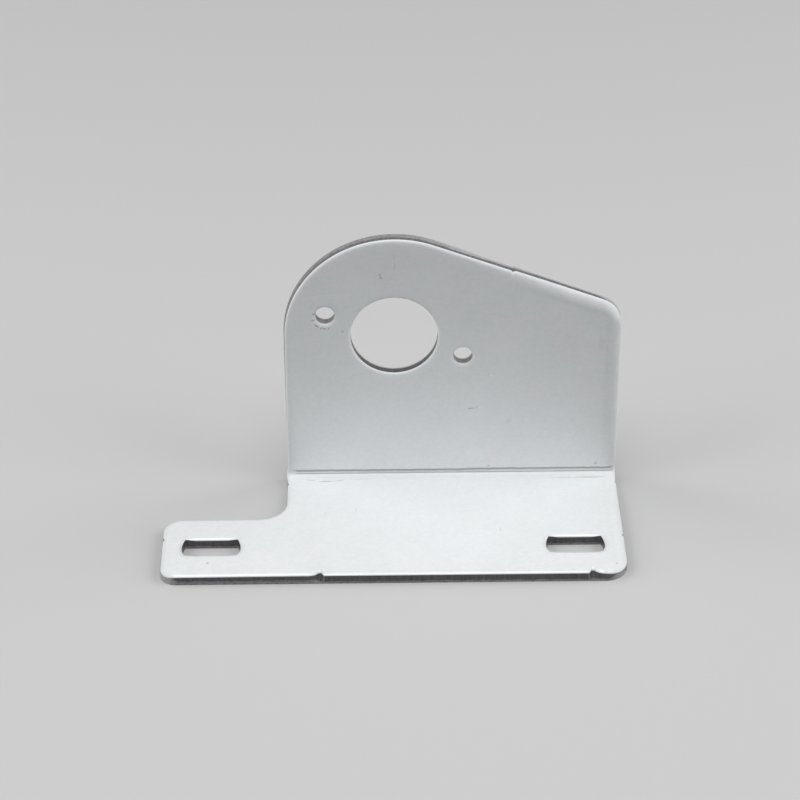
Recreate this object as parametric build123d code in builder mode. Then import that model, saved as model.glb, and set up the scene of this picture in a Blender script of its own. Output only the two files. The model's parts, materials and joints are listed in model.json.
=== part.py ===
from build123d import *

# Motor mounting bracket: one piece of zinc-plated steel sheet, blanked, pierced and folded once.
#
# The foot lies flat and is screwed down through two slots. The upright stands at its rear edge and
# carries a small motor by its face: the motor's boss sits in the round bore and two screws hold it.
#
# Frame: +X to the right and +Y to the rear, seen from the front, with +Z up. The origin lies on the
# mounting face, the underside of the foot, halfway between the two slots. Lengths are in millimetres.

import os
from math import radians, sin

# The sheet and its fold
sheet = 2.0  # thickness of the steel
fold_inside_r = 0.5  # radius inside the fold
die_roll = 0.3  # radius dragged over each cut edge, on the top of the foot and the motor face

# The motor seat in the upright
shaft_height = 30.4  # mounting face to shaft axis
shaft_offset = 0.5  # shaft axis to the right of the middle of the slots
bore_d = 15.0  # clearance round the motor's boss
screw_circle_d = 25.0  # the two motor screws sit on this circle
screw_hole_d = 3.3  # clearance for a 3 mm screw
screw_tilt = 19.2  # the line through the screws falls to the right by this many degrees

# The outline of the upright
crown_r = 18.8  # round top about the shaft, which is also the reach of the left edge
right_margin = 3.4  # right slot's end to the right edge, of the foot and of the upright
top_slope = 20.9  # fall of the straight top edge, in degrees, tangent to the round top
shoulder_r = 5.2  # corner between the sloping top and the right edge

# The outline of the foot
foot_depth = 29.6  # motor face to the front edge of the foot
tab_margin = 3.3  # left slot's end to the end of the tab
tab_depth = 16.4  # front edge to rear edge of the tab
tab_root_r = 5.0  # inside corner between the tab and the left edge
tab_rear_r = 3.2
tab_front_r = 2.5
foot_front_r = 3.7

# The slots in the foot: a round punch ground flat on two sides, so the ends are shallow arcs
slot_length = 10.0
slot_width = 4.5
slot_spacing = 62.0  # middle to middle
slot_setback = 8.2  # front edge to the line through both slots

# The squeezed inside of the fold swells out at its two ends
swell_left = 0.25
swell_right = 0.1
swell_run = 1.3  # length over which it fades into each flat

# Nicks where one cut of the die ran into the next: (depth, gentle flank, steep flank)
front_nick = (0.8, 1.3, 0.5)
fold_nick = (0.25, 0.2, 0.2)
side_nick = (0.15, 0.8, 0.2)
slope_nick = (0.25, 0.45, 0.35)
nick_tip = 0.3  # flat at the bottom of a nick
front_nick_reach = (-12.8, 32.6)  # shaft axis to each nick in the front edge
fold_nick_setback = 2.6  # motor face to the nicks beside the fold
side_nick_setback = 10.6  # front edge to the nicks in the tab's end and the right edge
slope_nick_reach = 14.4  # end of the round top to the nick in the slope

# Derived positions
front_y = -slot_setback
face_y = front_y + foot_depth  # motor face, the front of the upright
fold_y = face_y - fold_inside_r  # the flat of the foot ends here
fold_z = sheet + fold_inside_r  # the flat of the upright starts here
left_x = shaft_offset - crown_r  # left edge of the upright
slot_end_x = (slot_spacing + slot_length) / 2  # the slots' outer ends stand this far out
tab_x = -slot_end_x - tab_margin
right_x = slot_end_x + right_margin
tab_rear_y = front_y + tab_depth
slope_start_x = crown_r * sin(radians(top_slope))  # where the round top runs into the slope
motor_face = Plane.XZ.offset(-face_y)  # drawn as seen from the front


def swell_line(edge_x, swell, flat_v, fold_v):
    """One end of the fold, on a flat: the straight edge at flat_v eases out to the swell at fold_v."""
    along = (0, fold_v - flat_v)
    return Spline((edge_x, flat_v), (edge_x + swell, fold_v), tangents=(along, along))


def nick_shape(size):
    """A nick in an edge that runs along X, cut upwards, with its steep flank to the right."""
    depth, gentle, steep = size
    outside = -depth
    return Polygon(
        (-gentle, outside),
        (-gentle, 0),
        (-nick_tip / 2, depth),
        (nick_tip / 2, depth),
        (steep, 0),
        (steep, outside),
        align=None,
    )


with BuildPart() as bracket:
    # The foot
    with BuildSketch(Plane.XY) as foot_outline:
        with BuildLine():
            left_swell = swell_line(left_x, -swell_left, fold_y - swell_run, fold_y)
            right_swell = swell_line(right_x, swell_right, fold_y - swell_run, fold_y)
            Line(left_swell @ 1, right_swell @ 1)
            Polyline(
                left_swell @ 0,
                (left_x, tab_rear_y),
                (tab_x, tab_rear_y),
                (tab_x, front_y),
                (right_x, front_y),
                right_swell @ 0,
            )
        make_face()
        for corner, radius in (
            ((left_x, tab_rear_y), tab_root_r),
            ((tab_x, tab_rear_y), tab_rear_r),
            ((tab_x, front_y), tab_front_r),
            ((right_x, front_y), foot_front_r),
        ):
            fillet(foot_outline.vertices().sort_by_distance(corner)[0], radius)
    extrude(amount=sheet)

    # The upright
    with BuildSketch(motor_face) as upright_outline:
        with BuildLine():
            crown = CenterArc((shaft_offset, shaft_height), crown_r, 90 - top_slope, 90 + top_slope)
            top = PolarLine(
                crown @ 0,
                right_x - shaft_offset - slope_start_x,
                -top_slope,
                length_mode=LengthMode.HORIZONTAL,
            )
            left_swell = swell_line(left_x, -swell_left, fold_z + swell_run, fold_z)
            right_swell = swell_line(right_x, swell_right, fold_z + swell_run, fold_z)
            Line(crown @ 1, left_swell @ 0)
            Line(left_swell @ 1, right_swell @ 1)
            Line(right_swell @ 0, top @ 1)
        make_face()
        fillet(upright_outline.vertices().sort_by_distance(top @ 1)[0], shoulder_r)
    extrude(amount=-sheet)

    # The fold between them
    with BuildSketch(Plane.YZ.offset(left_x - swell_left)):
        with BuildLine():
            inside = CenterArc((fold_y, fold_z), fold_inside_r, -90, 90)
            outside = CenterArc((fold_y, fold_z), fold_inside_r + sheet, -90, 90)
            Line(inside @ 0, outside @ 0)
            Line(inside @ 1, outside @ 1)
        make_face()
    extrude(amount=right_x + swell_right - left_x + swell_left)

    # The bore and the two screw holes
    with BuildSketch(motor_face):
        with Locations((shaft_offset, shaft_height)):
            Circle(bore_d / 2)
            with PolarLocations(screw_circle_d / 2, 2, start_angle=-screw_tilt):
                Circle(screw_hole_d / 2)
    extrude(amount=-sheet, mode=Mode.SUBTRACT)

    # The slots
    with BuildSketch(Plane.XY):
        with GridLocations(slot_spacing, 0, 2, 1):
            Circle(slot_length / 2)
        Rectangle(slot_spacing + slot_length, slot_width, mode=Mode.INTERSECT)
    extrude(amount=sheet, mode=Mode.SUBTRACT)

    # The rolled edges: each cut edge of the foot's top, of the inside of the fold and of the motor face
    on_foot = bracket.edges().filter_by_position(Axis.Z, sheet, sheet)
    on_upright = bracket.edges().filter_by_position(Axis.Y, face_y, face_y)
    in_fold = (
        bracket.edges()
        .filter_by_position(Axis.Y, fold_y, face_y)
        .filter_by_position(Axis.Z, sheet, fold_z)
        .filter_by(GeomType.CIRCLE)
    )
    fold_lines = bracket.edges().filter_by_position(Axis.Y, fold_y, fold_y) + (
        bracket.edges().filter_by_position(Axis.Z, fold_z, fold_z)
    )
    fillet([edge for edge in on_foot + on_upright + in_fold if edge not in fold_lines], die_roll)

    # The nicks in the front edge, beside the fold, in the right edge, in the end of the tab and in the slope
    with BuildSketch(Plane.XY):
        with Locations((shaft_offset + front_nick_reach[0], front_y)):
            nick_shape(front_nick)
        with Locations(Location((shaft_offset + front_nick_reach[1], front_y), (180, 0, 180))):
            nick_shape(front_nick)
        with Locations(
            Location((left_x, face_y - fold_nick_setback), (0, 0, -90)),
            Location((right_x, face_y - fold_nick_setback), (0, 0, 90)),
        ):
            nick_shape(fold_nick)
        with Locations(
            Location((tab_x, front_y + side_nick_setback), (0, 0, -90)),
            Location((right_x, front_y + side_nick_setback), (0, 0, 90)),
        ):
            nick_shape(side_nick)
    extrude(amount=sheet, mode=Mode.SUBTRACT)
    with BuildSketch(motor_face):
        slope_place = top.position_at(slope_nick_reach, position_mode=PositionMode.LENGTH)
        with Locations(Location(slope_place, (0, 0, 180 - top_slope))):
            nick_shape(slope_nick)
    extrude(amount=-sheet, mode=Mode.SUBTRACT)

bracket.part.label = "bracket"

os.makedirs("parts", exist_ok=True)
export_step(bracket.part, "parts/bracket.step")
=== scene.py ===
"""Looks of the zinc-plated motor mounting bracket, laid out as a Blender add-on and run as a script.

The bracket is made as the real one is: a flat blank is outlined and pierced, its cut edges roll over
under the punch, and it is folded once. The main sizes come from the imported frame, and the others are
properties. The blank is modelled in millimetres, with X and Y along the sheet and Z through it, and
what will be the top of the foot and the face of the upright lies on its upper side.
"""

import json
from math import ceil, cos, exp, hypot, pi, radians, sin, sqrt
from typing import NamedTuple

import bmesh
import bpy
from bmesh.types import BMEdge, BMFace, BMVert
from mathutils import Matrix, Quaternion, Vector
from mathutils.noise import noise


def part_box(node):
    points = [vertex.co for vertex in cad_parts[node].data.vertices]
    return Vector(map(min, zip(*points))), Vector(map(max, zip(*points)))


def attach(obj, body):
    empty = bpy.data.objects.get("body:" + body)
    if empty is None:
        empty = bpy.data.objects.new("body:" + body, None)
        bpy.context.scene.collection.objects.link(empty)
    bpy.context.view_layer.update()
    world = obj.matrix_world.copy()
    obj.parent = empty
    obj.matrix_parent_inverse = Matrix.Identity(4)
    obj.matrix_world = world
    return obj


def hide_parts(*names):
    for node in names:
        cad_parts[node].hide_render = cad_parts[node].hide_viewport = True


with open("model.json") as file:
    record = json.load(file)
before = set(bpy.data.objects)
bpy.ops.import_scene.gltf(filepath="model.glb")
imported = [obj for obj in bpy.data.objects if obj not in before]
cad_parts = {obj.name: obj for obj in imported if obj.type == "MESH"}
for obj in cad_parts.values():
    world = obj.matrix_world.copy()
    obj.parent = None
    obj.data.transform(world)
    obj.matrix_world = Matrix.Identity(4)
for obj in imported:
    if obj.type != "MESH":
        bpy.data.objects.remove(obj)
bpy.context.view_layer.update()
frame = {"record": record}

bl_info = {
    "name": "Motor Mounting Bracket",
    "version": (1, 0, 0),
    "blender": (4, 5, 0),
    "location": "View3D > Sidebar > Bracket",
    "description": "Builds a folded, zinc-plated motor mounting bracket and its studio",
    "category": "Object",
}

MM = 0.001
NODE = "bracket"
PLATED, SHEARED = 0, 1  # material slots of the piece
UP = Vector((0, 0, 1))


def number(name, description, default, **kind):
    return bpy.props.FloatProperty(name=name, description=description, default=default, **kind)


def length(name, description, millimetres):
    return number(name, description, millimetres * MM, unit="LENGTH", precision=5)


def angle(name, description, in_degrees):
    return number(name, description, radians(in_degrees), unit="ROTATION")


def share(name, description, default):
    return number(name, description, default, min=0, max=1, subtype="FACTOR")


def numbers(name, description, default, **kind):
    return bpy.props.FloatVectorProperty(name=name, description=description, default=default, **kind)


def spot_in_space(name, description, default):
    return numbers(name, description, default, subtype="TRANSLATION", unit="LENGTH")


def colour(name, description, default):
    return numbers(name, description, default, min=0, max=1, subtype="COLOR")


class BracketSizes(bpy.types.PropertyGroup):
    """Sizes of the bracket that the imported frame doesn't state."""

    fold_inside_r: length("Fold radius", "Radius inside the fold", 0.5)
    right_margin: length("Right margin", "Right slot's end to the right edge", 3.4)
    top_slope: angle("Top slope", "Fall of the straight top edge", 20.9)
    shoulder_r: length("Shoulder radius", "Corner between the sloping top and the right edge", 5.2)
    screw_tilt: angle("Screw tilt", "Fall of the line through the two motor screws", 19.2)
    tab_depth: length("Tab depth", "Front edge to the rear edge of the tab", 16.4)
    tab_root_r: length("Tab root radius", "Inside corner between the tab and the left edge", 5.0)
    tab_rear_r: length("Tab rear radius", "Rear corner of the tab", 3.2)
    tab_front_r: length("Tab front radius", "Front corner of the tab", 2.5)
    foot_front_r: length("Foot front radius", "Front right corner of the foot", 3.7)
    slot_width: length("Slot width", "Width of the slots across their flats", 4.5)
    round_width: length("Round width", "Width of the round beside a cut", 0.5)
    round_depth: length("Round depth", "Depth of that round", 0.3)
    bow_width: length("Bow width", "Width of the bow beside a cut", 1.1)
    bow_depth: length("Bow depth", "Depth of that bow", 0.1)
    foot_round: length("Foot round", "Width and depth of the sharper round on the foot", 0.1)
    slot_bow_width: length("Slot bow width", "Width of the bow beside a slot", 0.75)
    drag_depth: length("Drag depth", "Fall of the sheet where the punch dragged it most", 0.75)
    burr: length("Burr", "Burr on the far side of the cut, round the crown", 0.16)
    step_out: length("Step", "Step where the cut of the slope starts, right of its nick", 0.12)
    nick_depth: length("Nick depth", "Depth of the nicks in the front edge", 0.85)
    crease_depth: length("Crease depth", "Depth of the lines pressed in by the bending tool", 0.04)
    swell_left: length("Left swell", "Swelling of the squeezed fold at its left end", 0.25)
    swell_right: length("Right swell", "Swelling of the squeezed fold at its right end", 0.1)


def point(x, y):
    """A place on the flat sheet in millimetres, or a direction along it."""
    return Vector((x, y, 0))


ANGLES = ("top_slope", "screw_tilt")  # the sizes that aren't lengths
NEUTRAL_LAYER = 0.45  # share of the sheet's thickness, from inside the fold, that keeps its length


class Plan:
    """The bracket's lengths in millimetres, and where its features lie on the flat sheet."""

    def __init__(self, sizes):
        for name in BracketSizes.__annotations__:
            value = getattr(sizes, name)
            setattr(self, name, value if name in ANGLES else value / MM)
        low, high = (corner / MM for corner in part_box(NODE))
        mounts = {mount["name"]: mount for mount in frame["record"]["mounts"]}
        shaft = Vector(mounts["motor_face"]["pos_m"]) / MM
        slots, bore, screws = (mounts[name]["dims"] for name in ("foot_slots", "motor_bore", "motor_screws"))
        self.slot_r = slots["slot_length_mm"] / 2
        self.slots = [point(side * slots["spacing_x_mm"] / 2, 0) for side in (-1, 1)]
        self.sheet = high.y - shaft.y
        self.crown_r = high.z - shaft.z
        self.face_y = shaft.y
        self.fold_y = shaft.y - self.fold_inside_r
        self.fold_z = self.sheet + self.fold_inside_r
        self.fold_run = pi / 2 * (self.fold_inside_r + NEUTRAL_LAYER * self.sheet)
        self.left = shaft.x - self.crown_r
        self.right = self.slots[1].x + self.slot_r + self.right_margin
        self.front = low.y
        self.tab_end = low.x
        self.tab_rear = self.front + self.tab_depth
        self.shaft = point(shaft.x, self.up(shaft.z))
        self.bore_r = bore["r_mm"]
        self.screw_r = screws["hole_r_mm"]
        screw_offset = point(cos(self.screw_tilt), -sin(self.screw_tilt))
        screw_offset *= screws["pcd_mm"] / 2
        self.screws = (self.shaft - screw_offset, self.shaft + screw_offset)
        self.slope_along = point(cos(self.top_slope), -sin(self.top_slope))
        self.slope_out = point(sin(self.top_slope), cos(self.top_slope))
        self.crown_end = self.shaft + self.slope_out * self.crown_r
        shoulder_x = self.right - self.shoulder_r
        reach = self.crown_r - self.shoulder_r - sin(self.top_slope) * (shoulder_x - self.shaft.x)
        self.shoulder = point(shoulder_x, self.shaft.y + reach / cos(self.top_slope))
        self.fold_end = self.fold_y + self.fold_run
        self.slot_corner = point(sqrt(self.slot_r**2 - self.slot_width**2 / 4), self.slot_width / 2)
        self.nicks = self.plan_nicks()
        self.corners = self.plan_corners()
        self.face_roll = (self.round_width, self.round_depth, self.bow_width, self.bow_depth)
        foot_bow_depth = self.round_depth + self.bow_depth - self.foot_round
        self.foot_roll = (self.foot_round, self.foot_round, self.bow_width, foot_bow_depth)
        self.slot_roll = (self.foot_round, self.foot_round, self.slot_bow_width, foot_bow_depth)

    def plan_nicks(self):
        """Where one cut of the die ran into the next. The slope's nick comes last."""
        front_left = point(self.shaft.x - 12.9, self.front)
        front_right = point(self.shaft.x + 32.9, self.front)
        slope = self.crown_end + self.slope_along * 14.4
        left, right, rear = point(-1, 0), point(1, 0), point(0, 1)
        return (
            Nick(front_left, rear, right, self.nick_depth, 0.45, 2.0, 0.45),
            Nick(front_right, rear, left, self.nick_depth, 0.4, 2.1, 0.5),
            Nick(point(self.tab_end, self.front + 10.7), right, rear, 0.35, 0.1, 0.6, 0.6),
            Nick(point(self.right, self.front + 10.9), left, -rear, 0.3, 0.1, 0.5, 0.4),
            Nick(point(self.left, self.face_y - 2.15), right, rear, 0.3, 0.1, 0.4, 0.4),
            Nick(point(self.right, self.face_y - 2.4), left, rear, 0.2, 0.1, 0.4, 0.4),
            Nick(slope, -self.slope_out, self.slope_along, 0.25, 0.1, 0.5, 0.5),
        )

    def plan_corners(self):
        """The corners of the outline: where they would be sharp, their radius, and how far they dragged."""
        slope_fall = self.slope_out.x * (self.right - self.shaft.x)
        shoulder_y = self.shaft.y + (self.crown_r - slope_fall) / self.slope_out.y
        return (
            (point(self.right, self.front), self.foot_front_r, 0.85),
            (point(self.tab_end, self.front), self.tab_front_r, 0.6),
            (point(self.tab_end, self.tab_rear), self.tab_rear_r, 0.2),
            (point(self.right, shoulder_y), self.shoulder_r, 1.3),
        )

    def up(self, height):
        """Where a height on the upright is along the flat sheet."""
        return self.fold_y + self.fold_run + height - self.fold_z


GENTLE_CURVE, STEEP_CURVE = 3, 1.5  # how hollow the two flanks of a nick are, where 1 is straight


class Nick(NamedTuple):
    """A nick in the outer edge: it opens gently on one side of its flat tip and steeply on the other."""

    place: Vector
    inward: Vector
    steep_way: Vector
    depth: float
    tip: float
    gentle_reach: float
    steep_reach: float

    def lines(self):
        """Distances along the edge at which the mesh needs a line to carry the nick."""
        for part in (1, 0.7, 0.5, 0.33, 0.2, 0.08, 0):  # closer together where the flank is steeper
            yield -self.tip / 2 - part * self.gentle_reach
        for part in (0, 0.15, 0.4, 0.7, 1):
            yield self.tip / 2 + part * self.steep_reach

    def pull(self, place):
        """How far a place on the edge is pulled inwards."""
        along = (place - self.place).dot(self.steep_way)
        past_tip = max(0, abs(along) - self.tip / 2)
        reach, curve = (self.gentle_reach, GENTLE_CURVE) if along < 0 else (self.steep_reach, STEEP_CURVE)
        return self.depth * max(0, 1 - past_tip / reach) ** curve


ARC_STEP, ARC_TURN = 1.2, radians(9)  # an arc has an edge for each of these


def only(kind, items):
    return [item for item in items if isinstance(item, kind)]


def verts_of(faces):
    return {vert for face in faces for vert in face.verts}


class Pen:
    """Draws a closed outline of straight runs and arcs as edges of a bmesh."""

    def __init__(self, bm, x, y):
        self.bm = bm
        self.start = self.tip = bm.verts.new((x, y, 0))

    def line(self, x, y):
        fresh = self.bm.verts.new((x, y, 0))
        self.bm.edges.new((self.tip, fresh))
        self.tip = fresh

    def arc(self, centre, turn):
        """Turns about centre by an angle in radians, to the left if it is positive."""
        steps = ceil(abs(turn) * hypot(*(self.tip.co - centre).xy) / ARC_STEP + abs(turn) / ARC_TURN)
        made = bmesh.ops.spin(
            self.bm, geom=[self.tip], cent=centre, axis=UP, angle=turn, steps=steps, use_duplicate=False
        )
        self.tip = only(BMVert, made["geom_last"])[0]

    def close(self):
        """Welds the last point to the first and returns the outline as one face."""
        bmesh.ops.pointmerge(self.bm, verts=[self.tip, self.start], merge_co=self.start.co)
        made = bmesh.ops.contextual_create(self.bm, geom=self.bm.edges[:])
        return made["faces"][0]


def draw_outline(bm, plan):
    """The outer edge of the blank, to the left all the way round from the front right corner."""
    pen = Pen(bm, plan.right, plan.front + plan.foot_front_r)
    pen.line(plan.right, plan.shoulder.y)
    pen.arc(plan.shoulder, pi / 2 - plan.top_slope)
    pen.line(plan.crown_end.x, plan.crown_end.y)
    pen.arc(plan.shaft, pi / 2 + plan.top_slope)
    pen.line(plan.left, plan.tab_rear + plan.tab_root_r)
    pen.arc(point(plan.left - plan.tab_root_r, plan.tab_rear + plan.tab_root_r), -pi / 2)
    pen.line(plan.tab_end + plan.tab_rear_r, plan.tab_rear)
    pen.arc(point(plan.tab_end + plan.tab_rear_r, plan.tab_rear - plan.tab_rear_r), pi / 2)
    pen.line(plan.tab_end, plan.front + plan.tab_front_r)
    pen.arc(point(plan.tab_end + plan.tab_front_r, plan.front + plan.tab_front_r), pi / 2)
    pen.line(plan.right - plan.foot_front_r, plan.front)
    pen.arc(point(plan.right - plan.foot_front_r, plan.front + plan.foot_front_r), pi / 2)
    return pen.close()


RIM_STEPS = (1.2, 0.4, 0.3)  # bands inside the outer edge, for its nicks and dragged corners
RIM = sum(RIM_STEPS)
HOLE_STEPS = (1.2, 0.1)  # bands round each hole
HOLE_RIM = sum(HOLE_STEPS)
LARGE_HOLE_SIDES, SCREW_HOLE_SIDES = 96, 40
NICK_HOLD = 1.6  # the blank follows a nick this far in from its edge


def pierce(bm, centre, radius, segments, flat_width=None):
    """Bands of faces round a hole: round, or with two flats flat_width apart. Returns their outer edge."""
    rim, reach = (bm.verts.layers.float[name] for name in ("rim", "reach"))
    made = bmesh.ops.create_circle(
        bm, cap_ends=True, radius=radius, segments=segments, matrix=Matrix.Translation(centre)
    )
    face = made["verts"][0].link_faces[0]
    if flat_width:
        for side in (-1, 1):
            geom = [face, *face.edges, *face.verts]
            at, out = centre + point(0, side * flat_width / 2), point(0, side)
            made = bmesh.ops.bisect_plane(bm, geom=geom, plane_co=at, plane_no=out, clear_outer=True)
            face = only(BMFace, made["geom"])[0]
    edges = face.edges[:]
    for vert in face.verts:
        vert[reach] = HOLE_RIM
    bmesh.ops.delete(bm, geom=[face], context="FACES_ONLY")
    half_width = flat_width / 2 if flat_width else radius
    done = 0
    for width in HOLE_STEPS:
        made = bmesh.ops.extrude_edge_only(bm, edges=edges)["geom"]
        outer_verts = only(BMVert, made)
        growth = (1 + width / (radius + done), 1 + width / (half_width + done), 1)
        bmesh.ops.scale(bm, vec=growth, space=Matrix.Translation(-centre), verts=outer_verts)
        done += width
        for vert in outer_verts:
            vert[rim], vert[reach] = done, HOLE_RIM
        edges = [edge for edge in only(BMEdge, made) if all(vert in outer_verts for vert in edge.verts)]
    return edges


def flat_blank(bm, plan):
    """The blank with no thickness yet, pierced, with bands of faces round its edges."""
    rim = bm.verts.layers.float.new("rim")  # how far a point is from the nearest cut edge
    reach = bm.verts.layers.float.new("reach")  # how far in the bands beside that edge go
    outer = draw_outline(bm, plan)
    done = 0
    for width in RIM_STEPS:
        bmesh.ops.inset_region(bm, faces=[outer], thickness=width, use_boundary=True, use_even_offset=True)
        done += width
        for vert in outer.verts:
            vert[rim] = done
    for vert in bm.verts:
        vert[reach] = RIM
    to_fill = outer.edges[:]
    bmesh.ops.delete(bm, geom=[outer], context="FACES_ONLY")
    to_fill += pierce(bm, plan.shaft, plan.bore_r, LARGE_HOLE_SIDES)
    for centre in plan.screws:
        to_fill += pierce(bm, centre, plan.screw_r, SCREW_HOLE_SIDES)
    for centre in plan.slots:
        to_fill += pierce(bm, centre, plan.slot_r, LARGE_HOLE_SIDES, plan.slot_width)
    bmesh.ops.triangle_fill(bm, edges=to_fill, use_beauty=True, normal=UP)
    bm.normal_update()
    bmesh.ops.reverse_faces(bm, faces=[face for face in bm.faces if face.normal.z < 0])


ROLL_STEPS = 8
ON_SURFACE = 0.001  # a point this close to a side of the sheet lies on it
HAIR = 0.01  # equal lengths may differ by this


def roll(from_edge, round_width, round_depth, bow_width, bow_depth):
    """How far the upper side has rolled over this far in from a cut: a quarter round in a shallow bow."""
    near = max(0, 1 - from_edge / round_width)
    far = max(0, 1 - from_edge / bow_width)
    return round_depth * (1 - sqrt(1 - near**2)) + bow_depth * far**2


def thicken(bm, plan):
    """Gives the blank its thickness, its sheared walls and its rolled upper edges."""
    rim = bm.verts.layers.float["rim"]
    from_edge = 0
    fallen = roll(from_edge, *plan.face_roll)
    made = bmesh.ops.extrude_face_region(bm, geom=bm.faces[:])
    upper = only(BMFace, made["geom"])
    bmesh.ops.translate(bm, verts=list(verts_of(upper)), vec=UP * (plan.sheet - fallen))
    bmesh.ops.recalc_face_normals(bm, faces=bm.faces[:])
    for face in bm.faces:
        face.smooth = True
        face.material_index = SHEARED if abs(face.normal.z) < 0.5 else PLATED
    for edge in bm.edges:
        at_underside = all(vert.co.z < ON_SURFACE for vert in edge.verts)
        edge.smooth = not (at_underside and any(face.material_index == SHEARED for face in edge.link_faces))
    for step in range(1, ROLL_STEPS + 1):
        width = plan.bow_width * (1 - cos(pi / 2 * step / ROLL_STEPS)) - from_edge
        from_edge += width
        rise = fallen - roll(from_edge, *plan.face_roll)
        fallen -= rise
        made = bmesh.ops.inset_region(
            bm, faces=upper, thickness=width, depth=rise, use_boundary=True, use_even_offset=True
        )
        for vert in verts_of(made["faces"]) & verts_of(upper):
            vert[rim] += width


def cut_line(bm, at, across, low=None, high=None):
    """Cuts a straight line of edges through the faces that meet a box, or through the whole blank."""
    faces = [face for face in bm.faces if low is None or meets_box(face, low, high)]
    geom = {part for face in faces for part in (face, *face.edges, *face.verts)}
    bmesh.ops.bisect_plane(bm, geom=list(geom), dist=1e-6, plane_co=at, plane_no=across)


def meets_box(face, low, high):
    """Whether a face's own box meets the box between two corners, as seen from above."""
    for axis in (0, 1):
        reach = [vert.co[axis] for vert in face.verts]
        if min(reach) >= high[axis] or max(reach) <= low[axis]:
            return False
    return True


def ease(value):
    """Rises smoothly from 0 to 1 as value goes from 0 to 1."""
    value = min(max(value, 0), 1)
    return value * value * (3 - 2 * value)


FOLD_STEPS = 16
CREASES = ((2.55, 0.16), (1.6, 0.15))  # past the start of the fold, and half as wide as this
SWELL_LINES = (0.5, 1.0, 1.6)  # lines this far from the fold carry the swelling of its ends
SLOT_LINES = (0.25, 0.6, 1.1, 1.8)  # lines this far from a slot's corners carry their shallower roll
WALL_LINES = (0.45, 0.6, 0.75, 0.9)  # and lines at these shares of the sheet's depth the nicks and the burr
EDGE_STEP = 2.5  # lines this far apart carry the dragged edges


def cut_lines(bm, plan):
    """Cuts the lines into the flat blank that its fold, creases, nicks and dragged edges need."""
    across_fold, across_sheet = point(0, 1), point(1, 0)
    places = [plan.fold_y + plan.fold_run * step / FOLD_STEPS for step in range(FOLD_STEPS + 1)]
    for past, half_width in CREASES:
        places += [plan.fold_y + past + side * half_width for side in (-1, 0, 1)]
    for past in SWELL_LINES:
        places += [plan.fold_y - past, plan.fold_end + past]
    for along in places:
        cut_line(bm, point(0, along), across_fold)
    for nick in plan.nicks:
        reach = point(NICK_HOLD, NICK_HOLD)
        for along in nick.lines():
            at = nick.place + nick.steep_way * along
            cut_line(bm, at, nick.steep_way, at - reach, at + reach)
    steps = ceil((plan.right - plan.left) / EDGE_STEP)
    for step in range(1, steps):
        x = plan.left + (plan.right - plan.left) * step / steps
        at = point(x, 0)
        cut_line(bm, at, across_sheet, (x, plan.fold_y - 1), (x + HAIR, plan.fold_end + 1))
    for slot in plan.slots:
        reach = plan.slot_r + HOLE_RIM / 2
        for side in (-1, 1):
            for inwards in SLOT_LINES:
                at = point(slot.x + side * (plan.slot_corner.x - inwards), 0)
                cut_line(bm, at, across_sheet, (at.x, slot.y - reach), (at.x + HAIR, slot.y + reach))
    for step in range(ceil((plan.shoulder.y - plan.fold_end) / EDGE_STEP)):
        y = plan.fold_end + step * EDGE_STEP
        cut_line(bm, point(0, y), across_fold, (plan.right - RIM, y), (plan.right, y + HAIR))
    for step in range(ceil((plan.right - plan.shaft.x) / EDGE_STEP)):
        at = plan.crown_end + plan.slope_along * step * EDGE_STEP
        reach = point(RIM, RIM)
        cut_line(bm, at, plan.slope_along, at - reach, at + reach)
    for depth in WALL_LINES:
        cut_line(bm, UP * plan.sheet * (1 - depth), UP)


# Shares of drag_depth, and the lengths over which they fade
DRAG_LEAST = 0.04  # along every edge
DRAG_SIDE = 0.85  # along the right edge, and along the slope to the right of its nick
DRAG_RUN = 12
DRAG_LEFT_OF_NICK, DRAG_RIGHT_OF_NICK = 0.2, 0.4  # shares of the rise to DRAG_SIDE, beside the nick
DRAG_FOLD = 0.5  # at the two ends of the fold
FOLD_FADE = 7
CORNER_REACH = 0.85  # a dragged corner fades over this share of its radius


def drag(plan, place):
    """Share by which the punch dragged the sheet down at a place near the outer edge."""
    rise = 0
    past_nick = (place - plan.nicks[-1].place).dot(plan.slope_along) / DRAG_RUN
    out = (place - plan.shaft).dot(plan.slope_out) - plan.crown_r
    if past_nick > -1 and out > -2 * RIM and place.y > plan.shoulder.y - plan.shoulder_r:
        if past_nick < 0:
            rise = DRAG_LEFT_OF_NICK * ease(1 + past_nick)
        else:
            rise = ease(DRAG_RIGHT_OF_NICK + (1 - DRAG_RIGHT_OF_NICK) * past_nick)
    elif place.x > plan.right - 1.2 * RIM and place.y > plan.fold_end:
        rise = ease((place.y - plan.fold_end) / DRAG_RUN)
    pull = DRAG_LEAST + (DRAG_SIDE - DRAG_LEAST) * rise
    if place.x > plan.right - RIM or abs(place.x - plan.left) < RIM:
        from_fold = max(plan.fold_y - place.y, place.y - plan.fold_end, 0)
        pull = max(pull, DRAG_LEAST + (DRAG_FOLD - DRAG_LEAST) * (1 - ease(from_fold / FOLD_FADE)))
    for corner, radius, most in plan.corners:
        away = (place - corner).length / (CORNER_REACH * radius)
        pull = max(pull, DRAG_LEAST + (most - DRAG_LEAST) * exp(-(away**2)))
    return pull


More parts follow.
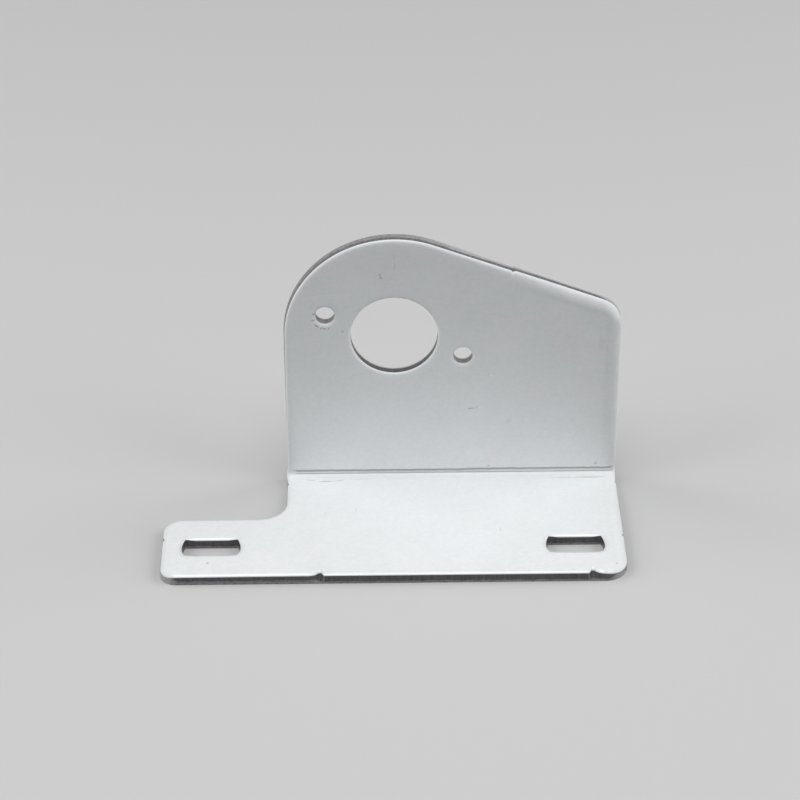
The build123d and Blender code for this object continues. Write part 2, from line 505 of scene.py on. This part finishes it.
def shape_edges(bm, plan):
    """Pulls the nicks in, drags the edges down, swells the ends of the fold and presses the creases."""
    rim, reach = (bm.verts.layers.float[name] for name in ("rim", "reach"))
    roll_depth = roll(0, *plan.face_roll)
    for vert in bm.verts:
        place = point(vert.co.x, vert.co.y)
        depth = plan.sheet - vert.co.z
        inside = vert[rim] / vert[reach]  # 0 on the cut edge, 1 at the inner end of its bands
        shift = point(0, 0)
        if inside < 1 - ON_SURFACE:
            shift += nick_pull(plan, place, depth, vert[rim]) + swell(plan, place, depth, inside)
            shift += stand_out(plan, place, depth) * (1 - inside)
            shift.z -= plan.drag_depth * drag(plan, place) * (1 - inside) ** 2 * (1 - depth / plan.sheet)
        if depth < roll_depth + HAIR:
            shift.z += slot_corner_rise(plan, place, depth)
            foot_roll = plan.slot_roll if vert[reach] < RIM else plan.foot_roll
            on_foot = ease((plan.fold_y - place.y) / FOLD_FADE)
            shift.z += on_foot * (roll(vert[rim], *plan.face_roll) - roll(vert[rim], *foot_roll))
        if depth < ON_SURFACE:
            shift.z -= crease(plan, place)
        vert.co += shift


NICK_FULL = 0.3  # a nick keeps its full depth this far in from the edge, and this far down
NICK_END = 0.95  # it has faded out at this share of the sheet's depth


def nick_pull(plan, place, depth, from_edge):
    """How far the nicks in the outer edge pull a place inwards: less the deeper it is in the sheet."""
    hold = 1 - ease((from_edge - NICK_FULL) / (NICK_HOLD - NICK_FULL))
    hold *= 1 - ease((depth - NICK_FULL) / (NICK_END * plan.sheet - NICK_FULL))
    shift = point(0, 0)
    for nick in plan.nicks:
        if (place - nick.place).length < nick.gentle_reach + NICK_HOLD:
            shift += nick.inward * nick.pull(place) * hold
    return shift


BURR_START, BURR_RISE = 0.6, 0.15  # where the burr starts and how fast it rises, in shares of the depth
BURR_END = 0.52  # it fades from this share of the crown's radius right of the shaft
BURR_FADE = 7


def stand_out(plan, place, depth):
    """How far the burr round the crown and the step right of the slope's nick stand out."""
    away = place - plan.shaft
    if away.dot(plan.slope_along) > 0:
        way = plan.slope_out
    elif away.y > 0:
        way = away.normalized()
    else:
        way = point(-1, 0)
    if away.dot(way) < plan.crown_r - RIM - HAIR or away.y < -BURR_FADE:
        return point(0, 0)
    out = plan.burr * ease((depth / plan.sheet - BURR_START) / BURR_RISE) * ease(1 + away.y / BURR_FADE)
    out *= 1 - ease((away.x - BURR_END * plan.crown_r) / BURR_FADE)
    past_nick = (place - plan.nicks[-1].place).dot(plan.slope_along)
    if past_nick > 0:
        out += plan.step_out * max(0, 1 - past_nick / DRAG_RUN)
    return way * out


SWELL_RUN = 1.3  # the swelling of the fold's ends fades this far into each flat
SQUEEZE = 1.4  # the sheet draws in instead below 1 / SQUEEZE of its depth


def swell(plan, place, depth, inside):
    """How far the squeezed inside of the fold stands out at its ends, or its outside draws in."""
    middle = plan.fold_y + plan.fold_run / 2
    bell = max(0, 1 - ((place.y - middle) / (plan.fold_run / 2 + SWELL_RUN)) ** 2) ** 2
    squeeze = 1 - SQUEEZE * depth / plan.sheet
    shift = point(0, 0)
    for edge, way, most in ((plan.left, -1, plan.swell_left), (plan.right, 1, plan.swell_right)):
        if abs(place.x - edge) < RIM:
            shift.x += way * most * bell * squeeze * (1 - inside)
    return shift


SLOT_CORNER_REACH = 1.7
SLOT_CORNER_RISE = 0.65  # share of its fall that a slot's edge gets back at a corner


def slot_corner_rise(plan, place, depth):
    """The corners of the slots roll over less than their sides."""
    for slot in plan.slots:
        away = place - slot
        corner = point(abs(away.x), abs(away.y)) - plan.slot_corner
        if corner.length < SLOT_CORNER_REACH:
            return depth * SLOT_CORNER_RISE * (1 - ease(corner.length / SLOT_CORNER_REACH))
    return 0


CREASE_FADE = 1.3  # within about this length of the edges the creases reach their depth


def crease(plan, place):
    """Depth of the lines that the bending tool pressed in beside the fold."""
    for past, _ in CREASES:
        if abs(place.y - plan.fold_y - past) < HAIR:
            from_end = min(place.x - plan.left, plan.right - place.x) / CREASE_FADE
            wander = 0.7 + 0.6 * noise(point(place.x * 0.35, past))
            return plan.crease_depth * ease(from_end - 0.2) * wander
    return 0


def fold_up(bm, plan):
    """Bends the blank in the fold and stands the upright up."""
    for vert in bm.verts:
        x, along, height = vert.co
        past = along - plan.fold_y
        radius = plan.fold_inside_r + plan.sheet - height
        if past >= plan.fold_run:
            vert.co = (x, plan.fold_y + radius, plan.fold_z + past - plan.fold_run)
        elif past > 0:
            turn = pi / 2 * past / plan.fold_run
            vert.co = (x, plan.fold_y + radius * sin(turn), plan.fold_z - radius * cos(turn))


def put(name, data):
    """Puts a mesh, a lamp or a camera in the scene."""
    thing = bpy.data.objects.new(name, data)
    bpy.context.scene.collection.objects.link(thing)
    return thing


def put_mesh(name, bm, *materials):
    """Puts a finished bmesh in the scene, with its materials."""
    mesh = bpy.data.meshes.new(name)
    bm.to_mesh(mesh)
    bm.free()
    for material in materials:
        mesh.materials.append(material)
    return put(name, mesh)


class OBJECT_OT_bracket(bpy.types.Operator):
    """Blank, pierce, roll and fold the bracket"""

    bl_idname = "bracket.sheet"
    bl_label = "Folded Sheet"

    def execute(self, context):
        plan = Plan(context.scene.bracket_sizes)
        bm = bmesh.new()
        flat_blank(bm, plan)
        thicken(bm, plan)
        cut_lines(bm, plan)
        flat = bm.verts.layers.float_vector.new("flat")
        for vert in bm.verts:
            vert[flat] = vert.co
        shape_edges(bm, plan)
        fold_up(bm, plan)
        bmesh.ops.scale(bm, vec=(MM, MM, MM), verts=bm.verts[:])
        finish = context.scene.bracket_finish
        piece = put_mesh("folded_sheet", bm, plated_steel(finish, plan), sheared_steel(finish, plan))
        piece.modifiers.new("Weighted Normal", "WEIGHTED_NORMAL").keep_sharp = True
        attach(piece, "root")
        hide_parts(NODE)
        return {"FINISHED"}


class FinishSettings(bpy.types.PropertyGroup):
    """Finish of the plated sheet and of its sheared edges."""

    zinc: colour("Zinc", "Colour of the plated faces", (0.893, 0.915, 0.927))
    zinc_metal: share("Zinc metal", "Metal shine of the plated faces", 0.12)
    zinc_roughness: share("Zinc roughness", "Roughness of the plated faces", 0.5)
    rim_metal: share("Rim metal", "Metal shine of the foot's rolled edges", 0.28)
    burnish: colour("Burnish", "Colour of the band where the punch sheared the edge", (0.12, 0.115, 0.12))
    fracture: colour("Fracture", "Colour of the band where the edge broke away", (0.34, 0.33, 0.34))
    burnish_share: share("Burnish share", "Share of the edge that was sheared smooth", 0.77)
    # how dark the painted shade along the creases beside the fold is
    rub: share("Rub", "Darkness of the lines rubbed beside the fold", 0.5)


HALF_DEPTH = 0.5  # a mark reaches this far into the sheet, in mm


class Nodes:
    """Adds nodes to a material or a world and links them up."""

    def __init__(self, owner):
        owner.use_nodes = True
        self.owner, self.tree = owner, owner.node_tree

    def fill(self, node, inputs):
        """Sets or links a node's inputs, which are given by name or by number."""
        for name, value in inputs.items():
            socket = node.inputs[name.replace("_", " ") if isinstance(name, str) else name]
            if isinstance(value, bpy.types.NodeSocket):
                self.tree.links.new(value, socket)
            else:
                socket.default_value = value

    def into(self, name, **inputs):
        """Sets or links the inputs of a node that is there from the start."""
        self.fill(self.tree.nodes[name], inputs)

    def add(self, kind, settings=None, **inputs):
        """A node of a kind, with its settings, and its inputs given as values or as sockets."""
        node = self.tree.nodes.new("ShaderNode" + kind)
        for name, value in (settings or {}).items():
            setattr(node, name, value)
        self.fill(node, inputs)
        return node

    def place(self):
        """Where a point is on the flat sheet, in millimetres."""
        return self.add("Attribute", {"attribute_name": "flat"}).outputs["Vector"]

    def grain(self, place, scale, detail, roughness):
        """A noise that is finer the greater scale is: one number, or one for each direction."""
        if isinstance(scale, tuple):
            place, scale = self.add("Mapping", Vector=place, Scale=scale).outputs[0], 1.0
        return self.add("TexNoise", Vector=place, Scale=scale, Detail=detail, Roughness=roughness).outputs[0]

    def remap(self, value, low, high, to_low=0.0, to_high=1.0, smooth=False):
        settings = {"interpolation_type": "SMOOTHSTEP" if smooth else "LINEAR"}
        limits = {"From_Min": low, "From_Max": high, "To_Min": to_low, "To_Max": to_high}
        return self.add("MapRange", settings, Value=value, **limits).outputs[0]

    def vary(self, noise_value, low, high):
        """Stretches a noise, which mostly lies between 0.3 and 0.7, to lie between low and high."""
        return self.remap(noise_value, 0.3, 0.7, low, high)

    def math(self, operation, first, *others):
        """Joins two or more values by one operation, from the first to the last."""
        for other in others:
            node = self.add("Math", {"operation": operation})
            self.fill(node, {0: first, 1: other})
            first = node.outputs[0]
        return first

    def times(self, *values):
        return self.math("MULTIPLY", *values)

    def vector_math(self, operation, first, second=(0, 0, 0), result="Vector"):
        node = self.add("VectorMath", {"operation": operation})
        self.fill(node, {0: first, 1: second})
        return node.outputs[result]

    def blend(self, share_of_second, first, second, blend_type="MIX"):
        """Mixes two colours."""
        node = self.add("Mix", {"data_type": "RGBA", "blend_type": blend_type})
        self.fill(node, {"Factor": share_of_second, 6: first, 7: second})
        return node.outputs[2]

    def split(self, vector):
        """How far across and along the flat sheet a place is, and how high in it."""
        return self.add("SeparateXYZ", Vector=vector).outputs[:3]

    def distance(self, place, other):
        """How far one place is from another."""
        return self.vector_math("DISTANCE", place, other, "Value")

    def seen(self):
        """1 for a ray that shows something to the camera, and 0 for one that only carries light."""
        path = self.add("LightPath")
        rays = (path.outputs[f"Is {ray} Ray"] for ray in ("Camera", "Glossy", "Transmission"))
        return self.math("ADD", *rays)

    def shade(self, first, value):
        """A colour times a share of the light."""
        grey = self.add("CombineColor", Red=value, Green=value, Blue=value).outputs[0]
        return self.blend(1.0, first, grey, "MULTIPLY")

    def stripe(self, value, centre, half_width, soft):
        """1 where a value is within half_width of centre, and 0 further away."""
        away = self.math("ABSOLUTE", self.math("SUBTRACT", value, centre), 0)
        return self.remap(away, half_width + soft, half_width - soft, smooth=True)

    def spot(self, place, centre, turn, half_length, half_width):
        """1 in the middle of a long or round spot on the upper side of the sheet, fading to 0 at its edge."""
        local = self.add("Mapping", {"vector_type": "TEXTURE"}, Vector=place)
        size = (half_length, half_width, HALF_DEPTH)
        self.fill(local, {"Location": centre, "Rotation": UP * turn, "Scale": size})
        away = self.vector_math("LENGTH", local.outputs[0], result="Value")
        return self.remap(away, 1.0, 0.35, smooth=True)


# Marks on the upper side, in mm: how far to the right and up or back from the motor's shaft on the flat
# sheet, half length, half width, turn in degrees, and how much darker (or lighter, below 0) they are.
FACE_MARKS = (
    (-2.25, 11.6, 0.35, 0.3, 0, 0.3),
    (-2.4, 12.2, 0.45, 0.16, 100, 0.3),
    (0.0, 15.7, 0.9, 0.13, 95, 0.14),
    (0.1, 13.8, 1.0, 0.14, 85, 0.16),
    (-8.8, 1.1, 0.35, 0.3, 0, 0.2),
    (-8.2, 5.9, 0.5, 0.2, 20, 0.06),
    (13.3, -14.75, 0.8, 0.15, 8, 0.4),
    (14.3, -14.5, 0.45, 0.14, 45, 0.26),
    (16.8, -8.05, 0.22, 0.3, 0, -0.3),
    (-13.65, 4.5, 0.5, 0.24, -5, 0.45),
    (-13.75, 3.35, 0.55, 0.2, 15, 0.4),
    (-13.25, 2.25, 0.65, 0.24, -35, 0.42),
    (-12.5, 1.75, 0.4, 0.2, 60, 0.38),
    (-11.9, 1.7, 0.55, 0.2, -20, 0.36),
    (-11.2, 1.75, 0.35, 0.2, 80, 0.3),
    (35.6, -1.5, 2.2, 0.8, 90, 0.06),
    (19.9, -17.4, 0.9, 0.6, 0, 0.08),
    (16.6, -26.9, 0.45, 0.3, 30, 0.2),
    (35.4, -26.5, 0.4, 0.4, 0, 0.26),
)
# Marks and painted shade on the foot: how far to the right of the middle of the slots and behind it, and so
# on as above.
FOOT_MARKS_AND_SHADE = (
    (-31.4, -4.75, 0.3, 0.4, 0, 0.3),
    (37.6, -5.96, 0.3, 0.4, 0, 0.22),
    (-17.6, 4.9, 0.25, 0.4, 0, -0.08),
    (-11.6, 9.6, 0.8, 0.12, 90, 0.14),
    (-6.3, 10.4, 0.8, 0.12, 90, 0.14),
    (18.4, 4.3, 0.8, 0.12, 90, 0.2),
    # The rows from here on are painted shade: a faint wavy line along the foot just in front of the fold.
    (-14.3, 19.65, 1.4, 0.2, -14, 0.26),
    (-11.6, 19.25, 1.9, 0.24, 0, 0.34),
    (-9.2, 19.5, 1.3, 0.18, 14, 0.24),
    (-5.4, 19.9, 2.8, 0.18, 0, 0.14),
    (1.5, 20.0, 3.4, 0.16, 0, 0.07),
    (30.4, 19.8, 4.0, 0.18, 0, 0.2),
    (35.0, 19.85, 3.4, 0.24, 0, 0.34),
)


# Painted shade along the creases that the bending tool pressed in beside the fold. Three numbers are a
# stripe: middle, half width and soft edge, in mm.
UPPER_LINE = (2.55, 0.2, 0.07)  # past the start of the fold
UPPER_STEP = (12.8, 13.6, 0, 0.1)  # between these places across the sheet the line steps up, to this
LOWER_LINE = (0, 0.22, 0.09)
LOWER_ENDS = (1.52, 1.76)  # the lower line's middle at the left and at the right end of the fold
LOWER_STRENGTH = 0.95
BEND_SHADE_ALONG, BEND_SHADE_ACROSS = (2.05, 0.6, 0.1), (4, 12, 5)  # a patch of painted shade on the bend between the lines, along and across the sheet
LINE_ENDS = (1.3, 0.6)  # the lines end this far from the fold's left and right end


def painted_crease_shade(nodes, finish, plan, place):
    """Share of the light left by shade painted along the creases that the bending tool pressed in beside the
    fold, and on the bend between them.
    """
    across, along, height = nodes.split(place)
    wander = nodes.grain(place, (0.5, 0, 0), 3, 0.6)
    past = nodes.math("SUBTRACT", along, plan.fold_y)
    past = nodes.math("ADD", past, nodes.vary(wander, -0.06, 0.06))
    upper = nodes.stripe(nodes.math("SUBTRACT", past, nodes.remap(across, *UPPER_STEP)), *UPPER_LINE)
    lower_at = nodes.remap(across, plan.left, plan.right, *LOWER_ENDS)
    lower = nodes.stripe(nodes.math("SUBTRACT", past, lower_at), *LOWER_LINE)
    patchy = nodes.grain(place, (1.2, 3, 0), 3, 0.6)
    patchy = nodes.remap(patchy, 0.35, 0.6, 0, 0.4)
    bend_shade = nodes.times(nodes.stripe(past, *BEND_SHADE_ALONG), nodes.stripe(across, *BEND_SHADE_ACROSS), patchy)
    dark = nodes.math("MAXIMUM", upper, nodes.times(lower, LOWER_STRENGTH), bend_shade)
    left, right = plan.left + LINE_ENDS[0], plan.right - LINE_ENDS[1]
    ends = nodes.stripe(across, (left + right) / 2, (right - left) / 2, 0.5)
    dark = nodes.times(dark, ends, on_top(nodes, plan, height))
    return nodes.remap(dark, 0, 1, 1, 1 - finish.rub)


def on_top(nodes, plan, height):
    """1 on the upper side of the sheet and 0 on its cut edges and its underside."""
    return nodes.remap(height, plan.sheet - 0.5, plan.sheet - 0.3)


BOWED_STRIPE = (2.15, 0.3, 0.7)  # a stripe in from the edge, as above
BOWED_SHADE = 0.92
BOWED_START = (14, 20)  # it fades in between these places along the slope


def bowed_shade(nodes, plan, place):
    """Share of the light left where the face bows in a little before it falls to its dragged edges."""
    across, along, height = nodes.split(place)
    from_shaft = nodes.vector_math("SUBTRACT", place, plan.shaft + UP * plan.sheet)
    out, down_slope = (
        nodes.vector_math("DOT_PRODUCT", from_shaft, way, "Value")
        for way in (plan.slope_out, plan.slope_along)
    )
    from_slope = nodes.math("SUBTRACT", plan.crown_r, out)
    from_right = nodes.math("SUBTRACT", plan.right, across)
    from_corner = nodes.distance(place, plan.shoulder + UP * plan.sheet)
    from_edge = nodes.math("MINIMUM", from_slope, from_right)
    from_edge = nodes.math("MAXIMUM", from_edge, nodes.math("SUBTRACT", plan.shoulder_r, from_corner))
    band = nodes.times(
        nodes.stripe(from_edge, *BOWED_STRIPE),
        nodes.remap(down_slope, *BOWED_START),
        nodes.remap(along, plan.fold_end, plan.shaft.y, 0.3, 1),
        on_top(nodes, plan, height),
    )
    patchy = nodes.vary(nodes.grain(place, 0.8, 4, 0.65), 0.6, 1.3)
    return nodes.remap(nodes.times(band, patchy), 0, 1, 1, BOWED_SHADE)


GREEN_TINT, PINK_TINT = (0.994, 1.002, 1.0), (1.004, 0.998, 1.002)  # the zinc varies between these
ROUGHNESS_SPREAD = 0.05
RIM_POLISH = 0.08  # the foot's rolled edges are less rough than the rest by this
RIM_POLISH_REACH = (1.0, 0.2)  # this far in from the cut, in mm, that starts and is complete


def plated_steel(finish, plan):
    """Zinc over rolled sheet: satin, finely grained and faintly mottled, with the marks of handling, and with
    painted shade along the fold's creases, beside the dragged edges and in a faint line on the foot.
    """
    nodes = Nodes(bpy.data.materials.new("plated_steel"))
    place = nodes.place()
    grain = nodes.grain(place, 1.7, 4, 0.7)
    rolled = nodes.grain(place, (0.12, 3.2, 1), 3, 0.6)
    shade = nodes.times(
        nodes.vary(nodes.grain(place, 0.11, 3, 0.55), 0.985, 1.015),
        nodes.vary(grain, 0.965, 1.035),
        nodes.vary(rolled, 0.994, 1.006),
        # painted shade along the creases and the bend beside the fold, and on the face beside its dragged
        # edges
        painted_crease_shade(nodes, finish, plan, place),
        bowed_shade(nodes, plan, place),
    )
    # marks of handling; the foot's table also paints a faint line of shade in front of the fold
    for start, marks in ((plan.shaft, FACE_MARKS), (point(0, 0), FOOT_MARKS_AND_SHADE)):
        for x, y, half_length, half_width, turn, darker in marks:
            centre = start + Vector((x, y, plan.sheet))
            spot = nodes.spot(place, centre, radians(turn), half_length, half_width)
            shade = nodes.times(shade, nodes.remap(spot, 0, 1, 1, 1 - darker))
    tint = nodes.remap(nodes.grain(place, 0.2, 2, 0.5), 0.4, 0.6, smooth=True)
    green, pink = (
        (*(part * shift for part, shift in zip(finish.zinc, tints)), 1) for tints in (GREEN_TINT, PINK_TINT)
    )
    base = nodes.shade(nodes.blend(tint, green, pink), shade)
    from_edge = nodes.add("Attribute", {"attribute_name": "rim"}).outputs["Fac"]
    on_foot = nodes.remap(nodes.split(place)[1], plan.fold_y, plan.fold_y - 5)
    polish = nodes.times(nodes.remap(from_edge, *RIM_POLISH_REACH), on_foot)
    least, most = (finish.zinc_roughness + side * ROUGHNESS_SPREAD for side in (-1, 1))
    rough = nodes.math("SUBTRACT", nodes.vary(grain, least, most), nodes.times(polish, RIM_POLISH))
    nodes.into(
        "Principled BSDF",
        Base_Color=base,
        Metallic=nodes.remap(polish, 0, 1, finish.zinc_metal, finish.rim_metal),
        Roughness=rough,
        Normal=nodes.add("Bump", Height=grain, Strength=0.25, Distance=0.00002).outputs[0],
    )
    return nodes.owner


class CutPlaces:
    """Where the cut edges look different: each is 1 there and 0 elsewhere. Lengths are in mm."""

    TOP_REACH, TOP_START = (2, 1), 3  # inwards from the crown, and below the shaft
    SLOPE_START = (2, 14)  # right of the shaft
    CORNER_REACHES, CORNER_CORE = (3.6, 3.2, 4.6), 0.4  # and the share of a reach that counts in full
    SCREW_REACH, FACE_REACH, FACE_START = (2.2, 2.1), (15, 14.9), (23, 25)
    LEFT_FRONT_START = (-6, -7)

    def __init__(self, nodes, plan, across, along):
        self.spot = nodes.add("CombineXYZ", X=across, Y=along).outputs[0]
        from_shaft = nodes.distance(self.spot, plan.shaft)
        self.top = nodes.times(
            nodes.remap(from_shaft, *(plan.crown_r - reach for reach in self.TOP_REACH)),
            nodes.remap(along, plan.shaft.y - self.TOP_START, plan.shaft.y),
        )
        slope = nodes.remap(across, *(plan.shaft.x + start for start in self.SLOPE_START))
        self.slope = nodes.times(self.top, slope)
        self.corners = self.screws = 0.0
        shoulder_y = plan.shoulder.y + plan.shoulder_r
        corners = ((plan.right, plan.front), (plan.tab_end, plan.front), (plan.right, shoulder_y))
        for corner, reach in zip(corners, self.CORNER_REACHES):
            near = nodes.distance(self.spot, point(*corner))
            near = nodes.remap(near, reach, self.CORNER_CORE * reach, smooth=True)
            self.corners = nodes.math("ADD", self.corners, near)
        for screw in plan.screws:
            in_hole = nodes.remap(nodes.distance(self.spot, screw), *self.SCREW_REACH)
            self.screws = nodes.math("ADD", self.screws, in_hole)
        self.face_hole = nodes.times(
            nodes.remap(from_shaft, *self.FACE_REACH), nodes.remap(along, *self.FACE_START)
        )
        nick_x = plan.nicks[0].place.x
        left = nodes.remap(across, nick_x, nick_x - 1)
        self.left_front = nodes.times(left, nodes.remap(along, *self.LEFT_FRONT_START))


# How the border between the two bands shifts, as shares of the sheet's thickness
BORDER_WANDER, BORDER_SOFTNESS = 0.06, 0.04
TOP_SHIFT, LEFT_FRONT_SHIFT, CORNER_SHIFT = 0.17, 0.14, 0.45  # these narrow the smooth band
DRAGGED_SHIFT = 0.15  # and this widens it along the slope
BURR_HIGHLIGHT_START, BURR_HIGHLIGHT_END = 0.84, 0.9  # in the holes of the face the edge ends in a painted highlight on its burr
# Colours of the painted light in the screw holes and of the painted highlight on the burr
SCREW_HOLE_LIGHT, BURR_HIGHLIGHT = (0.7, 0.68, 0.68, 1), (0.7, 0.7, 0.71, 1)


def sheared_steel(finish, plan):
    """The cut edges: smoothly sheared beside the rolled edge, and broken away beyond, thinly plated, with
    painted light in the screw holes and painted highlights on the burr and on the steep flanks of the front
    nicks.
    """
    nodes = Nodes(bpy.data.materials.new("sheared_steel"))
    place = nodes.place()
    across, along, height = nodes.split(place)
    at = CutPlaces(nodes, plan, across, along)
    wander = nodes.grain(at.spot, (0.5, 0.5, 0), 3, 0.6)
    border = nodes.math("ADD", nodes.vary(wander, -BORDER_WANDER, BORDER_WANDER), finish.burnish_share)
    less = (nodes.times(at.left_front, LEFT_FRONT_SHIFT), nodes.times(at.top, TOP_SHIFT))
    border = nodes.math("SUBTRACT", border, *less)
    dragged = nodes.remap(across, plan.shaft.x + 12, plan.shaft.x + 26, 0, DRAGGED_SHIFT)
    border = nodes.math("ADD", border, nodes.times(at.top, dragged))
    border = nodes.math("SUBTRACT", border, nodes.times(at.corners, CORNER_SHIFT))
    depth = nodes.remap(height, plan.sheet, 0)
    broken = nodes.math("SUBTRACT", depth, border)
    broken = nodes.remap(broken, -BORDER_SOFTNESS, BORDER_SOFTNESS, smooth=True)
    fracture = (*finish.fracture, 1)
    drawn = nodes.grain(place, (3, 3, 0.3), 3, 0.6)
    # The smooth band is lighter at the top and at the corners; in the screw holes the lighter and paler
    # colour is painted light against the shade inside them.
    lighter = nodes.math(
        "MAXIMUM", nodes.times(at.top, 0.3), nodes.times(at.screws, 0.8), nodes.times(at.corners, 0.6)
    )
    smooth_band = nodes.blend(lighter, (*finish.burnish, 1), fracture)
    smooth_band = nodes.blend(nodes.times(at.screws, 0.15), smooth_band, SCREW_HOLE_LIGHT)
    smooth_band = nodes.shade(smooth_band, nodes.vary(drawn, 0.75, 1.3))
    torn = nodes.grain(place, (2, 2, 4), 4, 0.7)
    broken_band = nodes.shade(fracture, nodes.vary(torn, 0.6, 1.4))
    # Painted highlight on the burr at the far edge of the cut: in the holes of the face, and over the broken
    # band along the slope and at the corners
    in_holes = nodes.times(nodes.remap(depth, BURR_HIGHLIGHT_START, BURR_HIGHLIGHT_END), at.face_hole)
    burr_highlight = nodes.math("MAXIMUM", in_holes, nodes.times(at.slope, 0.55), nodes.times(at.corners, 0.5))
    broken_band = nodes.blend(burr_highlight, broken_band, BURR_HIGHLIGHT)
    base = nodes.blend(broken, smooth_band, broken_band)
    # Painted highlight: a thin pale stripe down the steep flank of each front nick, near the front, in place
    # of the side light that the flank catches.
    for nick in plan.nicks[:2]:
        flank_x = nick.place.x + nick.steep_way.x * (nick.tip / 2 + 0.8 * nick.steep_reach)
        near_front = nodes.remap(along, plan.front + 2, plan.front + 1, 0, 0.5)
        flank_highlight = nodes.times(nodes.stripe(across, flank_x, 0.14, 0.08), near_front)
        base = nodes.blend(flank_highlight, base, fracture)
    rough = nodes.remap(broken, 0, 1, 0.38, 0.62)
    nodes.into("Principled BSDF", Base_Color=base, Metallic=0.4, Roughness=rough)
    return nodes.owner


class StudioSettings(bpy.types.PropertyGroup):
    """Floor, lamps and camera."""

    camera_place: spot_in_space("Camera place", "Where the camera stands", (-0.0046, -0.3839, 0.2779))
    camera_fall: angle("Camera fall", "The camera looks down by this angle", 32.717)
    camera_swing: angle("Camera swing", "The camera looks to the right by this angle", 0.858)
    camera_roll: angle("Camera roll", "The camera leans by this angle", 0.082)
    lens: number("Lens", "Focal length", 124.92, unit="CAMERA")
    floor_colour: colour("Floor", "Colour of the floor as it is seen", (0.65, 0.65, 0.65))
    floor_bounce: colour("Floor bounce", "Colour of the floor as it lights the bracket", (0.12, 0.12, 0.12))
    backdrop: share("Backdrop", "Brightness of the backdrop as it is seen", 0.55)
    sky: share("Sky", "Brightness of the backdrop as it lights the bracket", 0.12)
    overhead_place: spot_in_space("Overhead place", "Where the overhead softbox hangs", (0, -0.19, 0.77))
    overhead_size: number("Overhead size", "Side of the overhead softbox", 0.5, unit="LENGTH")
    overhead_power: number("Overhead power", "Power of the overhead softbox", 2.15, unit="POWER")
    side_place: spot_in_space("Side place", "Where the right softbox hangs", (0.7, 0, 0.4))
    side_size: number("Side size", "Side of each side softbox", 0.8, unit="LENGTH")
    side_power: number("Side power", "Power of each side softbox", 4.4, unit="POWER")


def hang_softbox(name, hung_at, side, watts, mirrored):
    """A square softbox that faces the bracket, and that shows in its shine if it is mirrored."""
    lamp = bpy.data.lights.new(name, "AREA")
    lamp.size = side
    lamp.energy = watts
    softbox = put(name, lamp)
    softbox.location = hung_at
    softbox.rotation_euler = (-Vector(hung_at)).to_track_quat("-Z", "Y").to_euler()
    softbox.visible_glossy = mirrored


def painted_floor(settings):
    """Pale where it is seen or mirrored, and darker in the soft light that it throws back."""
    nodes = Nodes(bpy.data.materials.new("floor"))
    base = nodes.blend(nodes.seen(), (*settings.floor_bounce, 1), (*settings.floor_colour, 1))
    nodes.into("Principled BSDF", Base_Color=base, Roughness=0.9)
    return nodes.owner


class OBJECT_OT_studio(bpy.types.Operator):
    """Lay the floor, hang the lamps and set the camera"""

    bl_idname = "bracket.studio"
    bl_label = "Studio"

    def execute(self, context):
        settings = context.scene.bracket_studio
        bm = bmesh.new()
        bmesh.ops.create_grid(bm, x_segments=1, y_segments=1, size=2.0)
        floor = put_mesh("floor", bm, painted_floor(settings))
        world = bpy.data.worlds.new("studio")
        context.scene.world = world
        nodes = Nodes(world)
        strength = nodes.remap(nodes.seen(), 0, 1, settings.sky, settings.backdrop)
        nodes.into("Background", Color=(1, 1, 1, 1), Strength=strength)
        side, watts = settings.overhead_size, settings.overhead_power
        hang_softbox("overhead", settings.overhead_place, side, watts, mirrored=True)
        reach, depth, height = settings.side_place
        for name, x in (("left_side", -reach), ("right_side", reach)):
            hung_at = (x, depth, height)
            hang_softbox(name, hung_at, settings.side_size, settings.side_power, mirrored=False)
        camera = put("camera", bpy.data.cameras.new("camera"))
        camera.data.sensor_width = 36
        camera.data.lens = settings.lens
        camera.data.clip_start = 0.01
        camera.location = settings.camera_place
        camera.rotation_mode = "QUATERNION"
        swing = Quaternion(UP, -settings.camera_swing)
        fall = Quaternion((1, 0, 0), pi / 2 - settings.camera_fall)
        camera.rotation_quaternion = swing @ fall @ Quaternion(UP, -settings.camera_roll)
        context.scene.camera = camera
        context.scene.view_settings.view_transform = "Standard"
        return {"FINISHED"}


class VIEW3D_PT_bracket(bpy.types.Panel):
    """The bracket's steps, each over the sizes, colours and lights that it takes"""

    bl_label = "Motor Mounting Bracket"
    bl_space_type = "VIEW_3D"
    bl_region_type = "UI"
    bl_category = "Bracket"

    def draw(self, context):
        scene = context.scene
        for step, groups in (
            (OBJECT_OT_bracket, (scene.bracket_sizes, scene.bracket_finish)),
            (OBJECT_OT_studio, (scene.bracket_studio,)),
        ):
            box = self.layout.box()
            box.operator(step.bl_idname)
            for group in groups:
                for name in group.__annotations__:
                    box.prop(group, name)


GROUPS = {"bracket_sizes": BracketSizes, "bracket_finish": FinishSettings, "bracket_studio": StudioSettings}
CLASSES = (*GROUPS.values(), OBJECT_OT_bracket, OBJECT_OT_studio, VIEW3D_PT_bracket)


def register():
    for cls in CLASSES:
        bpy.utils.register_class(cls)
    for name, group in GROUPS.items():
        setattr(bpy.types.Scene, name, bpy.props.PointerProperty(type=group))


def unregister():
    for name in GROUPS:
        delattr(bpy.types.Scene, name)
    for cls in reversed(CLASSES):
        bpy.utils.unregister_class(cls)


def main():
    register()
    bpy.ops.bracket.sheet()
    bpy.ops.bracket.studio()


if __name__ == "__main__":
    main()
